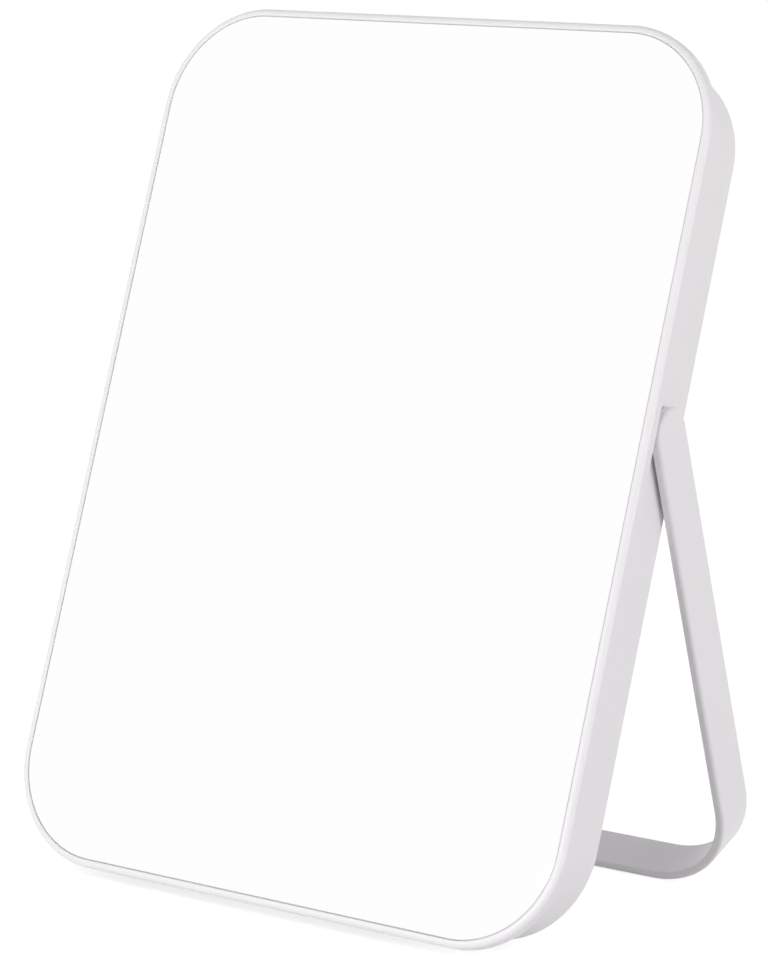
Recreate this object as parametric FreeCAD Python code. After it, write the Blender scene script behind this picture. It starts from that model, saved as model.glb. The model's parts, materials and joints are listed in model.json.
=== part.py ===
import FreeCAD, Part
import math
import os
from FreeCAD import Rotation, Vector

# Folding desk mirror: a glass in a slim moulded frame, a deep back cover, and a
# U-shaped stand that swings out of the cover's sides and nests round it when shut.
#
# Every piece is drawn in the panel's own frame and stood up at the end:
#   X to the right, Y from the glass towards the back, Z up the panel,
#   origin in the middle of the frame's front face. All sizes are in millimetres.

# ---- front frame and glass --------------------------------------------------
PANEL_WIDTH = 174.0
PANEL_HEIGHT = 240.0
PANEL_CORNER_RADIUS = 29.0
FRAME_DEPTH = 3.8
FRAME_RIM_WIDTH = 2.1
FRAME_FRONT_ROUNDING = 1.5
FRAME_REAR_ROUNDING = 0.3
FRAME_LIP_ROUNDING = 0.25
FRAME_FLOOR = 1.2
GLASS_THICKNESS = 1.8
GLASS_RECESS = 0.3
GLASS_EDGE_GAP = 0.15
GLASS_SEAM = 0.25
SPIGOT_DEPTH = 5.0
SPIGOT_WALL = 1.6
SPIGOT_PLAY = 0.15

# ---- foam tape behind the glass ---------------------------------------------
TAPE_STRIPS = 3
TAPE_WIDTH = 14.0
TAPE_LENGTH = 190.0
TAPE_PITCH = 32.0

# ---- back cover -------------------------------------------------------------
COVER_DEPTH = 20.2
COVER_INSET = 4.0
COVER_CORNER_RADIUS = 26.8
COVER_WALL = 2.0
COVER_BACK = 2.0
COVER_EDGE_ROUNDING = 2.0
COVER_INNER_ROUNDING = 1.0
RIB_THICKNESS = 1.2
RIB_HEIGHT = 5.0
FINGER_NOTCH_WIDTH = 34.0
FINGER_NOTCH_RISE = 8.0
FINGER_NOTCH_DEPTH = 12.0
FINGER_NOTCH_ROUNDING = 1.5

# ---- screws that hold the frame to the cover, hidden under the glass --------
SCREW_COLUMN = 55.0
SCREW_ROW = 88.0
SCREW_SHANK_RADIUS = 1.3
SCREW_HEAD_RADIUS = 2.4
SCREW_LENGTH = 9.0
SCREW_DRIVE_RADIUS = 0.9
SCREW_DRIVE_DEPTH = 0.7
SCREW_BOSS_RADIUS = 3.2
SCREW_HOLE_PLAY = 0.02

# ---- stand: one flat band bent to a U ---------------------------------------
STAND_THICKNESS = 2.5
STAND_WIDTH = 14.0
STAND_RECESS = 0.6
STAND_NEST_GAP = 0.5
STAND_CORNER_RADIUS = 26.0
STAND_OUTER_ROUNDING = 1.0
STAND_INNER_ROUNDING = 0.5
STAND_OPEN_ANGLE = 39.7

# ---- hinge in each side wall of the cover -----------------------------------
HINGE_RISE = 17.2
HINGE_SETBACK = 12.9
HINGE_THRUST_PLAY = 0.1
HINGE_RUNNING_PLAY = 0.05
HINGE_FIT_PLAY = 0.02
STUB_RADIUS = 3.0
STUB_KEY_FLAT = 4.4
BUSH_WALL = 1.15
BUSH_FLANGE_RADIUS = 5.6
PAD_RADIUS = 8.6
PAD_THICKNESS = 3.0
SPRING_THICKNESS = 0.3
SPRING_HEIGHT = 0.8
SPRING_RADIUS = 5.6
DISC_RADIUS = 5.7
DISC_THICKNESS = 1.2
DISC_TAB_RADIUS = 8.3
DISC_TAB_HALF_ANGLE = 13.0
COLLAR_PLAY = 0.3
STOP_PLAY_ANGLE = 1.0
HINGE_SCREW_RADIUS = 1.3
HINGE_SCREW_LENGTH = 7.0
HINGE_SCREW_HEAD_RADIUS = 3.6
HINGE_SCREW_HEAD_HEIGHT = 1.8

# ---- worked out from the sizes above ----------------------------------------
BACK_FACE = FRAME_DEPTH + COVER_DEPTH
FLOOR_FRONT = FRAME_DEPTH - FRAME_FLOOR
GLASS_BACK = GLASS_RECESS + GLASS_THICKNESS
COVER_HALF_WIDTH = PANEL_WIDTH / 2 - COVER_INSET
COVER_HALF_HEIGHT = PANEL_HEIGHT / 2 - COVER_INSET
WALL_INSIDE = COVER_HALF_WIDTH - COVER_WALL
STAND_HALF_WIDTH = PANEL_WIDTH / 2 - STAND_RECESS
STAND_BOTTOM = COVER_HALF_HEIGHT + STAND_NEST_GAP + STAND_THICKNESS
ARM_INSIDE = STAND_HALF_WIDTH - STAND_THICKNESS
FLANGE_INSIDE = COVER_HALF_WIDTH
FLANGE_OUTSIDE = ARM_INSIDE - HINGE_THRUST_PLAY
PAD_INSIDE = WALL_INSIDE - PAD_THICKNESS
DISC_OUTSIDE = PAD_INSIDE - SPRING_HEIGHT - HINGE_THRUST_PLAY
DISC_INSIDE = DISC_OUTSIDE - DISC_THICKNESS
COLLAR_INNER_RADIUS = DISC_RADIUS + COLLAR_PLAY
BUSH_BORE_RADIUS = STUB_RADIUS + HINGE_RUNNING_PLAY
BUSH_RADIUS = BUSH_BORE_RADIUS + BUSH_WALL

OVER = 1.0
TOUCH = 1e-3
ORIGIN = Vector(0, 0, 0)
X_AXIS = Vector(1, 0, 0)
Y_AXIS = Vector(0, 1, 0)
HINGE = Vector(0, HINGE_SETBACK, HINGE_RISE)


# ---- helpers ----------------------------------------------------------------
def middle(edge):
    """Point half-way along an edge."""
    return edge.valueAt((edge.FirstParameter + edge.LastParameter) / 2)


def edges_touching(edges, other):
    """Those edges of a list whose middle lies on the other shape."""
    return [edge for edge in edges
            if other.distToShape(Part.Vertex(middle(edge)))[0] < TOUCH]


def edges_at_depth(shape, depth):
    """Edges that lie wholly in the plane Y = depth."""
    return [edge for edge in shape.Edges
            if abs(edge.BoundBox.YMin - depth) < TOUCH and abs(edge.BoundBox.YMax - depth) < TOUCH]


def edges_along_y(shape):
    """Straight edges that run along Y."""
    return [edge for edge in shape.Edges
            if edge.BoundBox.XLength < TOUCH and edge.BoundBox.ZLength < TOUCH]


def rounded_plate(half_width, half_height, corner_radius, front, back):
    """Upright plate with round corners, between two depths."""
    corner = Vector(-half_width, front, -half_height)
    plate = Part.makeBox(2 * half_width, back - front, 2 * half_height, corner)
    return plate.makeFillet(corner_radius, edges_along_y(plate))


def inset_plate(inset, front, back):
    """The panel's outline drawn in by an inset, between two depths."""
    return rounded_plate(PANEL_WIDTH / 2 - inset, PANEL_HEIGHT / 2 - inset,
                         PANEL_CORNER_RADIUS - inset, front, back)


def cover_plate(inset, front, back):
    """The cover's outline drawn in by an inset, between two depths."""
    return rounded_plate(COVER_HALF_WIDTH - inset, COVER_HALF_HEIGHT - inset,
                         COVER_CORNER_RADIUS - inset, front, back)


def hinge_cylinder(radius, inside, outside):
    """Cylinder on the hinge axis, between two distances from the middle."""
    return Part.makeCylinder(radius, outside - inside, HINGE + X_AXIS * inside, X_AXIS)


def hinge_sector(inner_radius, outer_radius, inside, outside, start, end):
    """Piece of a ring round the hinge axis, its angles measured from up towards the glass."""
    def point(radius, angle):
        turn = math.radians(angle)
        return HINGE + Vector(inside, -radius * math.sin(turn), radius * math.cos(turn))

    half_way = (start + end) / 2
    outer = Part.Arc(point(outer_radius, start), point(outer_radius, half_way),
                     point(outer_radius, end)).toShape()
    inner = Part.Arc(point(inner_radius, end), point(inner_radius, half_way),
                     point(inner_radius, start)).toShape()
    sides = [Part.makeLine(point(outer_radius, end), point(inner_radius, end)),
             Part.makeLine(point(inner_radius, start), point(outer_radius, start))]
    face = Part.Face(Part.Wire([outer, sides[0], inner, sides[1]]))
    return face.extrude(X_AXIS * (outside - inside))


def to_left(shape):
    """The same piece on the other side of the mirror."""
    return shape.mirror(ORIGIN, X_AXIS)


def screw_places():
    """Centres of the frame screws, two columns of three."""
    return [(x, z) for x in (-SCREW_COLUMN, SCREW_COLUMN) for z in (-SCREW_ROW, 0.0, SCREW_ROW)]


# ---- front frame, glass, tape and screws ------------------------------------
def make_front_frame():
    """Rim, floor behind the glass, and a spigot that enters the cover."""
    frame = inset_plate(0.0, 0.0, FRAME_DEPTH)
    frame = frame.makeFillet(FRAME_FRONT_ROUNDING, edges_at_depth(frame, 0.0))
    frame = frame.makeFillet(FRAME_REAR_ROUNDING, edges_at_depth(frame, FRAME_DEPTH))
    pocket = inset_plate(FRAME_RIM_WIDTH, -OVER, FLOOR_FRONT)
    frame = frame.cut(pocket)
    frame = frame.makeFillet(FRAME_LIP_ROUNDING, edges_touching(edges_at_depth(frame, 0.0), pocket))

    spigot_back = FRAME_DEPTH + SPIGOT_DEPTH
    spigot_inset = COVER_WALL + SPIGOT_PLAY
    spigot = cover_plate(spigot_inset, FRAME_DEPTH, spigot_back)
    spigot = spigot.cut(cover_plate(spigot_inset + SPIGOT_WALL, FRAME_DEPTH, spigot_back + OVER))
    reach = PAD_RADIUS + SPIGOT_WALL
    window = Part.makeBox(PANEL_WIDTH, SPIGOT_DEPTH + OVER, 2 * reach,
                          Vector(-PANEL_WIDTH / 2, FRAME_DEPTH, HINGE_RISE - reach))
    frame = frame.fuse(spigot.cut(window))

    for x, z in screw_places():
        frame = frame.cut(frame_screw_body(x, z, SCREW_HOLE_PLAY))
    return frame.removeSplitter()


def frame_screw_body(x, z, play):
    """Countersunk screw without its drive, grown by a play all round."""
    head_height = FRAME_FLOOR
    shank_radius = SCREW_SHANK_RADIUS + play
    head = Part.makeCone(SCREW_HEAD_RADIUS + play, shank_radius, head_height,
                         Vector(x, FLOOR_FRONT, z), Y_AXIS)
    shank = Part.makeCylinder(shank_radius, SCREW_LENGTH, Vector(x, FLOOR_FRONT, z), Y_AXIS)
    return head.fuse(shank)


def make_frame_screws():
    """Six countersunk screws, as separate solids in one group."""
    screws = []
    for x, z in screw_places():
        drive = Part.makeCylinder(SCREW_DRIVE_RADIUS, SCREW_DRIVE_DEPTH, Vector(x, FLOOR_FRONT, z), Y_AXIS)
        screws.append(frame_screw_body(x, z, 0.0).cut(drive))
    return Part.makeCompound(screws)


def make_mirror_glass():
    """Float glass with seamed edges, lying in the frame's pocket."""
    glass = inset_plate(FRAME_RIM_WIDTH + GLASS_EDGE_GAP, GLASS_RECESS, GLASS_BACK)
    rims = edges_at_depth(glass, GLASS_RECESS) + edges_at_depth(glass, GLASS_BACK)
    return glass.makeChamfer(GLASS_SEAM, rims)


def make_foam_tape_strips():
    """Strips of foam tape that hold the glass to the frame's floor."""
    strips = []
    for index in range(TAPE_STRIPS):
        x = (index - (TAPE_STRIPS - 1) / 2) * TAPE_PITCH
        corner = Vector(x - TAPE_WIDTH / 2, GLASS_BACK, -TAPE_LENGTH / 2)
        strips.append(Part.makeBox(TAPE_WIDTH, FLOOR_FRONT - GLASS_BACK, TAPE_LENGTH, corner))
    return Part.makeCompound(strips)


# ---- back cover -------------------------------------------------------------
def finger_notch(growth):
    """Scoop in the middle of the cover's lower back edge, where a finger pulls the stand out."""
    half = FINGER_NOTCH_WIDTH / 2
    radius = (half ** 2 + FINGER_NOTCH_RISE ** 2) / (2 * FINGER_NOTCH_RISE)
    centre_z = FINGER_NOTCH_RISE - radius - COVER_HALF_HEIGHT
    front = BACK_FACE - FINGER_NOTCH_DEPTH - growth
    scoop = Part.makeCylinder(radius + growth, BACK_FACE + OVER - front, Vector(0, front, centre_z), Y_AXIS)
    return scoop.makeFillet(FINGER_NOTCH_ROUNDING + growth, edges_at_depth(scoop, front))


def make_rear_cover():
    """Moulded tray with ribs, screw bosses, a hinge pad in each side wall and a finger notch."""
    outside = cover_plate(0.0, FRAME_DEPTH, BACK_FACE)
    outside = outside.makeFillet(COVER_EDGE_ROUNDING, edges_at_depth(outside, BACK_FACE))
    inside_back = BACK_FACE - COVER_BACK
    inside = cover_plate(COVER_WALL, FRAME_DEPTH, inside_back)
    inside = inside.makeFillet(COVER_INNER_ROUNDING, edges_at_depth(inside, inside_back))

    rib_front = inside_back - RIB_HEIGHT
    ribs = []
    for x in (-SCREW_COLUMN, 0.0, SCREW_COLUMN):
        corner = Vector(x - RIB_THICKNESS / 2, rib_front, -PANEL_HEIGHT / 2)
        ribs.append(Part.makeBox(RIB_THICKNESS, RIB_HEIGHT + OVER, PANEL_HEIGHT, corner))
    for z in (-SCREW_ROW, 0.0, SCREW_ROW):
        corner = Vector(-PANEL_WIDTH / 2, rib_front, z - RIB_THICKNESS / 2)
        ribs.append(Part.makeBox(PANEL_WIDTH, RIB_HEIGHT + OVER, RIB_THICKNESS, corner))
    bosses = [Part.makeCylinder(SCREW_BOSS_RADIUS, BACK_FACE - COVER_BACK / 2 - FRAME_DEPTH,
                                Vector(x, FRAME_DEPTH, z), Y_AXIS) for x, z in screw_places()]
    hinge_pads = [hinge_pad(), to_left(hinge_pad())]
    notch_wall = finger_notch(COVER_WALL)
    additions = [piece.common(inside) for piece in ribs + [notch_wall]] + bosses + hinge_pads

    cover = outside.cut(inside).fuse(additions)
    cover = cover.cut(finger_notch(0.0))
    for x, z in screw_places():
        cover = cover.cut(frame_screw_body(x, z, SCREW_HOLE_PLAY))
    bush_hole = hinge_cylinder(BUSH_RADIUS + HINGE_FIT_PLAY, PAD_INSIDE - OVER, COVER_HALF_WIDTH + OVER)
    cover = cover.cut([bush_hole, to_left(bush_hole)])
    return cover.removeSplitter()


def hinge_pad():
    """Thick pad round the right-hand hinge, with a collar whose gap stops the disc's tab."""
    pad = hinge_cylinder(PAD_RADIUS, PAD_INSIDE, WALL_INSIDE + COVER_WALL / 2)
    collar = hinge_cylinder(PAD_RADIUS, DISC_INSIDE, PAD_INSIDE)
    collar = collar.cut(hinge_cylinder(COLLAR_INNER_RADIUS, DISC_INSIDE, PAD_INSIDE))
    margin = DISC_TAB_HALF_ANGLE + STOP_PLAY_ANGLE
    gap = hinge_sector(STUB_RADIUS, PAD_RADIUS + OVER, DISC_INSIDE, PAD_INSIDE,
                       -margin, STAND_OPEN_ANGLE + margin)
    return pad.fuse(collar.cut(gap))


# ---- stand and hinge pieces, drawn folded flat ------------------------------
def stand_block(inset):
    """Filled block under the stand's outline, drawn in by an inset on its outer side."""
    half_width = STAND_HALF_WIDTH - inset
    bottom = inset - STAND_BOTTOM
    top = HINGE_RISE + STAND_WIDTH
    corner = Vector(-half_width, HINGE_SETBACK - STAND_WIDTH / 2 - OVER, bottom)
    block = Part.makeBox(2 * half_width, STAND_WIDTH + 2 * OVER, top - bottom, corner)
    lower = [edge for edge in edges_along_y(block) if abs(middle(edge).z - bottom) < TOUCH]
    return block.makeFillet(STAND_CORNER_RADIUS - inset, lower)


def make_folding_stand():
    """Flat band bent to a U, with round ends and a keyed stub inside each."""
    half = STAND_WIDTH / 2
    length = STAND_BOTTOM + HINGE_RISE
    side_view = Part.makeBox(PANEL_WIDTH, STAND_WIDTH, length,
                             Vector(-PANEL_WIDTH / 2, HINGE_SETBACK - half, -STAND_BOTTOM))
    side_view = side_view.fuse(hinge_cylinder(half, -PANEL_WIDTH / 2, PANEL_WIDTH / 2))
    outer_block = stand_block(0.0)
    inner_block = stand_block(STAND_THICKNESS)
    band = outer_block.cut(inner_block).common(side_view).removeSplitter()

    band = band.makeFillet(STAND_INNER_ROUNDING, edges_touching(band.Edges, inner_block))
    skin = Part.makeCompound([face for face in outer_block.Faces
                              if abs(face.normalAt(0, 0).y) < TOUCH and face.normalAt(0, 0).z < TOUCH])
    band = band.makeFillet(STAND_OUTER_ROUNDING, edges_touching(band.Edges, skin))

    stub = stub_body()
    return band.fuse([stub, to_left(stub)]).removeSplitter()


def stub_body():
    """Right-hand stub: round in the bush, two flats where the disc sits, drilled for its screw."""
    key_start = DISC_OUTSIDE
    stub = hinge_cylinder(STUB_RADIUS, DISC_INSIDE, ARM_INSIDE + STAND_THICKNESS / 2)
    slot = hinge_cylinder(STUB_RADIUS + OVER, DISC_INSIDE, key_start)
    stub = stub.cut(slot.cut(key_block(0.0)))
    hole = hinge_cylinder(HINGE_SCREW_RADIUS + HINGE_FIT_PLAY, DISC_INSIDE, DISC_INSIDE + HINGE_SCREW_LENGTH)
    return stub.cut(hole)


def key_block(play):
    """The stub's section where it carries the disc, a circle with two flats."""
    inside = DISC_INSIDE - OVER
    outside = DISC_OUTSIDE
    radius = STUB_RADIUS + play
    flat = STUB_KEY_FLAT + 2 * play
    block = Part.makeBox(outside - inside, flat, 2 * radius,
                         HINGE + Vector(inside, -flat / 2, -radius))
    return hinge_cylinder(radius, inside, outside).common(block)


def make_hinge_bush():
    """Flanged bush in the cover's wall, which the stub turns in."""
    sleeve = hinge_cylinder(BUSH_RADIUS, PAD_INSIDE, FLANGE_OUTSIDE)
    flange = hinge_cylinder(BUSH_FLANGE_RADIUS, FLANGE_INSIDE, FLANGE_OUTSIDE)
    return sleeve.fuse(flange).cut(hinge_cylinder(BUSH_BORE_RADIUS, PAD_INSIDE, FLANGE_OUTSIDE))


def make_spring_washer():
    """Conical spring washer that presses the disc away from the pad."""
    inner_radius = STUB_RADIUS + COLLAR_PLAY
    wide = PAD_INSIDE
    narrow = PAD_INSIDE - SPRING_HEIGHT
    section = [Vector(wide, SPRING_RADIUS, 0),
               Vector(wide - SPRING_THICKNESS, SPRING_RADIUS, 0),
               Vector(narrow, inner_radius, 0),
               Vector(narrow + SPRING_THICKNESS, inner_radius, 0)]
    face = Part.Face(Part.makePolygon(section + section[:1]))
    washer = face.revolve(ORIGIN, X_AXIS, 360)
    washer.translate(HINGE)
    return washer


def make_stop_disc():
    """Disc keyed to the stub, whose tab runs between the collar's two stops."""
    disc = hinge_cylinder(DISC_RADIUS, DISC_INSIDE, DISC_OUTSIDE)
    tab = hinge_sector(STUB_RADIUS + OVER, DISC_TAB_RADIUS, DISC_INSIDE, DISC_OUTSIDE,
                       -DISC_TAB_HALF_ANGLE, DISC_TAB_HALF_ANGLE)
    return disc.fuse(tab).cut(key_block(HINGE_FIT_PLAY)).removeSplitter()


def make_hinge_screw():
    """Pan-head screw that holds the disc on the stub."""
    head_inside = DISC_INSIDE - HINGE_SCREW_HEAD_HEIGHT
    head = hinge_cylinder(HINGE_SCREW_HEAD_RADIUS, head_inside, DISC_INSIDE)
    rim = [edge for edge in head.Edges if abs(middle(edge).x - head_inside) < TOUCH]
    head = head.makeFillet(HINGE_SCREW_HEAD_HEIGHT / 2, rim)
    shank = hinge_cylinder(HINGE_SCREW_RADIUS, DISC_INSIDE, DISC_INSIDE + HINGE_SCREW_LENGTH)
    drive = hinge_cylinder(SCREW_DRIVE_RADIUS, head_inside, head_inside + SCREW_DRIVE_DEPTH)
    return head.fuse(shank).cut(drive)


# ---- how the open mirror stands ---------------------------------------------
def floor_angle(panel_foot, panel_round, stand_foot, stand_round):
    """Lean at which a rounded panel edge and the stand's rounded edge touch one floor."""
    run = stand_foot - panel_foot
    return math.atan2(run.z, run.y) - math.asin((stand_round - panel_round) / run.Length)


def lean_angle():
    """Lean of the open mirror in radians, on the stand and the panel's lowest edge."""
    turn = math.radians(STAND_OPEN_ANGLE)
    along = Vector(0, math.sin(turn), -math.cos(turn))
    across = Vector(0, math.cos(turn), math.sin(turn))
    reach = STAND_BOTTOM + HINGE_RISE - STAND_OUTER_ROUNDING
    front = STAND_WIDTH / 2 - STAND_OUTER_ROUNDING
    stand_foot = HINGE + along * reach - across * front
    cover_foot = Vector(0, BACK_FACE - COVER_EDGE_ROUNDING, COVER_EDGE_ROUNDING - COVER_HALF_HEIGHT)
    frame_foot = Vector(0, FRAME_DEPTH - FRAME_REAR_ROUNDING, FRAME_REAR_ROUNDING - PANEL_HEIGHT / 2)
    return max(floor_angle(cover_foot, COVER_EDGE_ROUNDING, stand_foot, STAND_OUTER_ROUNDING),
               floor_angle(frame_foot, FRAME_REAR_ROUNDING, stand_foot, STAND_OUTER_ROUNDING))


def make_pieces():
    """Every piece by name: the panel's as drawn, the stand's swung open."""
    panel = {
        "front_frame": make_front_frame(),
        "mirror_glass": make_mirror_glass(),
        "foam_tape_strips": make_foam_tape_strips(),
        "frame_screws": make_frame_screws(),
        "rear_cover": make_rear_cover(),
    }
    stand = {"folding_stand": make_folding_stand()}
    for name, group, make in (("hinge_bush", panel, make_hinge_bush),
                              ("spring_washer", panel, make_spring_washer),
                              ("stop_disc", stand, make_stop_disc),
                              ("hinge_screw", stand, make_hinge_screw)):
        piece = make()
        group[name + "_right"] = piece
        group[name + "_left"] = to_left(piece)
    for piece in stand.values():
        piece.rotate(HINGE, X_AXIS, STAND_OPEN_ANGLE)
    return {**panel, **stand}


def main():
    pieces = make_pieces()
    lean = math.degrees(lean_angle())
    for piece in pieces.values():
        piece.rotate(ORIGIN, X_AXIS, -lean)
    box = Part.makeCompound(list(pieces.values())).optimalBoundingBox(False)
    to_floor = Vector(0, -(box.YMin + box.YMax) / 2, -box.ZMin)
    os.makedirs("parts", exist_ok=True)
    for name, piece in pieces.items():
        piece.translate(to_floor)
        piece.exportStep("parts/" + name + ".step")
        print(f"{name}: {len(piece.Solids)} solid, {piece.Volume / 1000:.2f} cm3, valid {piece.isValid()}")
    hinge = Rotation(X_AXIS, -lean).multVec(HINGE) + to_floor
    print(f"lean {lean:.3f} deg, hinge axis through y {hinge.y:.3f} z {hinge.z:.3f}")
    print(f"size {box.XLength:.2f} x {box.YLength:.2f} x {box.ZLength:.2f}")


main()
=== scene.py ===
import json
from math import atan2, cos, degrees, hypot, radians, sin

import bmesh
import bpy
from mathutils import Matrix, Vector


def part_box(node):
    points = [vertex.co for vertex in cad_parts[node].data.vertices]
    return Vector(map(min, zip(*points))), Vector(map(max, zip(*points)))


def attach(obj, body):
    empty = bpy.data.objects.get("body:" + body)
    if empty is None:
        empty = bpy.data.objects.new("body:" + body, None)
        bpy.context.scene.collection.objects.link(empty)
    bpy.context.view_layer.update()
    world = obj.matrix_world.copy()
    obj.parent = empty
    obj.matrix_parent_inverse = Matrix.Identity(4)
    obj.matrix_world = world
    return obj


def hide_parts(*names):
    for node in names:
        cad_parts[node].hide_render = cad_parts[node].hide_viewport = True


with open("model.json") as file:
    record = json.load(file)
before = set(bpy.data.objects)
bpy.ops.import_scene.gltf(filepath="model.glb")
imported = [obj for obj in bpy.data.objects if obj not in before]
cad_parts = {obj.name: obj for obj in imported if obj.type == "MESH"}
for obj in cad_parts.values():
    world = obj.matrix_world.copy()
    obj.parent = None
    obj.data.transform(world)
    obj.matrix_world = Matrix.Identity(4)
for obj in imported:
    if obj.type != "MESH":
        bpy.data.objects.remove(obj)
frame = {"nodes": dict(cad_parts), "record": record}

# %% [markdown]
# # A folding desk mirror
# A sheet of mirror glass lies in a slim white frame. A deep back cover closes the
# frame from behind, and a flat band bent to a U swings out of the cover's sides to
# hold the mirror up. The solids that carry the motion are already loaded. This
# lesson models the four pieces that are seen, gives every piece its finish, and
# lights them softly on a pale floor.

MM = 0.001
QUARTER_TURN = radians(90)

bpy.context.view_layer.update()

# %% [markdown]
# ## How the mirror stands
# Everything is easiest to model while the mirror is upright and square to the axes:
# X to the right, Y from the glass to the back, Z up, with the origin in the middle of
# the frame's front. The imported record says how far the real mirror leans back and
# where its hinge is, so those two facts place every finished piece.


# %% Lean, hinge and opening angle
def named(items, name):
    """The item with this name in a list of the record."""
    return next(item for item in items if item["name"] == name)


hinge = named(frame["record"]["behaviour"]["joints"], "stand_fold")
back_face = named(frame["record"]["mounts"], "back_face")
HINGE_PLACE = Vector(hinge["pos_m"])
OPEN_ANGLE = -radians(hinge["range_deg"][0])
LEAN = atan2(-back_face["axis"][2], back_face["axis"][1])
HINGE_SETBACK = 12.9 * MM
HINGE_RISE = 17.2 * MM
HINGE_LINE = Vector((0, HINGE_SETBACK, HINGE_RISE))
print("leans", round(degrees(LEAN), 2), "degrees, opens", round(degrees(OPEN_ANGLE), 1))

# %% [markdown]
# ## The camera
# A long lens from a little above and to the right keeps the mirror's sides nearly
# parallel. Lens and sensor are given in millimetres, all else in metres. The camera
# is turned by three angles: round the mirror, up from the floor, and a slight roll.

# %% Camera
CAMERA_PLACE = (523.7 * MM, -762.5 * MM, 260.4 * MM)
CAMERA_AZIMUTH = radians(34.571)
CAMERA_ELEVATION = radians(9.331)
CAMERA_ROLL = radians(1.2715)
LENS_LENGTH = 132.0
SENSOR_WIDTH = 36.0
NEAREST_SEEN = 0.05
FARTHEST_SEEN = 50.0

lens = bpy.data.cameras.new("camera")
lens.lens = LENS_LENGTH
lens.sensor_width = SENSOR_WIDTH
lens.clip_start = NEAREST_SEEN
lens.clip_end = FARTHEST_SEEN
camera = bpy.data.objects.new("camera", lens)
bpy.context.scene.collection.objects.link(camera)
turn = (Matrix.Rotation(CAMERA_AZIMUTH, 3, "Z")
        @ Matrix.Rotation(QUARTER_TURN - CAMERA_ELEVATION, 3, "X")
        @ Matrix.Rotation(CAMERA_ROLL, 3, "Z"))
camera.rotation_euler = turn.to_euler()
camera.location = CAMERA_PLACE
bpy.context.scene.camera = camera
print("camera at", [round(value, 3) for value in camera.location])

# %% [markdown]
# ## Modelling by hand, in code
# Each piece starts as a primitive of the right size, a block or a cylinder, with its
# place and size already in its mesh. Cylinders lie in two directions here: pins along
# the hinge's axis and drums along Y.

# %% Helpers for primitives
PIN_SIDES = 64


def only(piece):
    """Makes a piece the only selected and active object."""
    bpy.ops.object.select_all(action="DESELECT")
    piece.select_set(True)
    bpy.context.view_layer.objects.active = piece


def settle(piece):
    """Puts the piece's place, turn and scale into its mesh."""
    only(piece)
    bpy.ops.object.transform_apply(location=True, rotation=True, scale=True)


def add_block(name, low, high):
    """Adds a box between two corners."""
    bpy.ops.object.select_all(action="DESELECT")
    low, high = Vector(low), Vector(high)
    bpy.ops.mesh.primitive_cube_add(size=1.0, location=(low + high) / 2)
    piece = bpy.context.object
    piece.name = piece.data.name = name
    piece.scale = high - low
    settle(piece)
    return piece


def add_cylinder(name, radius, length, centre, rotation, sides):
    """Adds a cylinder round a centre."""
    bpy.ops.object.select_all(action="DESELECT")
    bpy.ops.mesh.primitive_cylinder_add(vertices=sides, radius=radius, depth=length,
                                        location=centre, rotation=rotation)
    piece = bpy.context.object
    piece.name = piece.data.name = name
    settle(piece)
    return piece


def add_pin(name, radius, inside, outside):
    """Adds a cylinder on the hinge's axis, between two distances from the middle."""
    centre = ((inside + outside) / 2, HINGE_SETBACK, HINGE_RISE)
    across = (0, QUARTER_TURN, 0)
    return add_cylinder(name, radius, abs(outside - inside), centre, across, PIN_SIDES)


def add_drum(name, radius, place, front, back, sides):
    """Adds a cylinder along Y at a place (x, z), between two depths."""
    centre = (place[0], (front + back) / 2, place[1])
    upright = (QUARTER_TURN, 0, 0)
    return add_cylinder(name, radius, back - front, centre, upright, sides)


print("blocks, pins and drums can be added")

# %% [markdown]
# ## Selecting and shaping
# Edit mode shapes a piece, and every operator there works on what is selected. So one
# helper selects only the edges or faces that pass a test, and one rounds the selected
# edges. One adds a modifier with its settings and applies it at once, which is how a
# piece is cut out of another or joined to it. The last one shades a finished piece.

# %% Helpers for selection and modifiers
TINY = 0.01 * MM
ROUND_PROFILE = 0.5
INWARDS = -1.0
FLATS_FIRST = 100


def edit(piece):
    """Opens a piece in edit mode."""
    only(piece)
    bpy.ops.object.mode_set(mode="EDIT")


def done():
    """Leaves edit mode."""
    bpy.ops.object.mode_set(mode="OBJECT")


def pick(kind, wanted):
    """Selects only the edges or faces of the open piece that pass a test."""
    bpy.ops.mesh.select_mode(type=kind)
    bpy.ops.mesh.select_all(action="DESELECT")
    mesh = bmesh.from_edit_mesh(bpy.context.object.data)
    for item in mesh.edges if kind == "EDGE" else mesh.faces:
        if wanted(item):
            item.select_set(True)
    bmesh.update_edit_mesh(bpy.context.object.data)


def round_off(radius, steps):
    """Rounds the selected edges of the open piece."""
    bpy.ops.mesh.bevel(offset=radius, offset_type="OFFSET", segments=steps,
                       profile=ROUND_PROFILE, affect="EDGES", clamp_overlap=False)


def modify(piece, kind, **settings):
    """Adds a modifier with its settings and applies it."""
    only(piece)
    modifier = piece.modifiers.new(kind.title(), kind)
    for name, value in settings.items():
        setattr(modifier, name, value)
    bpy.ops.object.modifier_apply(modifier=modifier.name)


def cut_or_join(piece, other, operation):
    """Cuts the other piece away, or joins it on, and removes it."""
    modify(piece, "BOOLEAN", operation=operation, object=other, solver="EXACT")
    bpy.data.objects.remove(other, do_unlink=True)


def smooth(piece, angle):
    """Shades round parts smooth, keeps sharp edges and keeps large flats truly flat."""
    only(piece)
    bpy.ops.object.shade_smooth_by_angle(angle=radians(angle))
    modify(piece, "WEIGHTED_NORMAL", keep_sharp=True, weight=FLATS_FIRST)


print("pieces can be selected, rounded, cut, joined and smoothed")

# %% [markdown]
# ## The outlines of the panel and the cover
# Frame, glass and cover are all plates with round corners, so width, height and
# corner radius say what an outline is. Later steps need to know how far a point lies
# inside such an outline, to tell an outer edge from an inner one, so that is worked
# out from the corner's centre.

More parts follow.
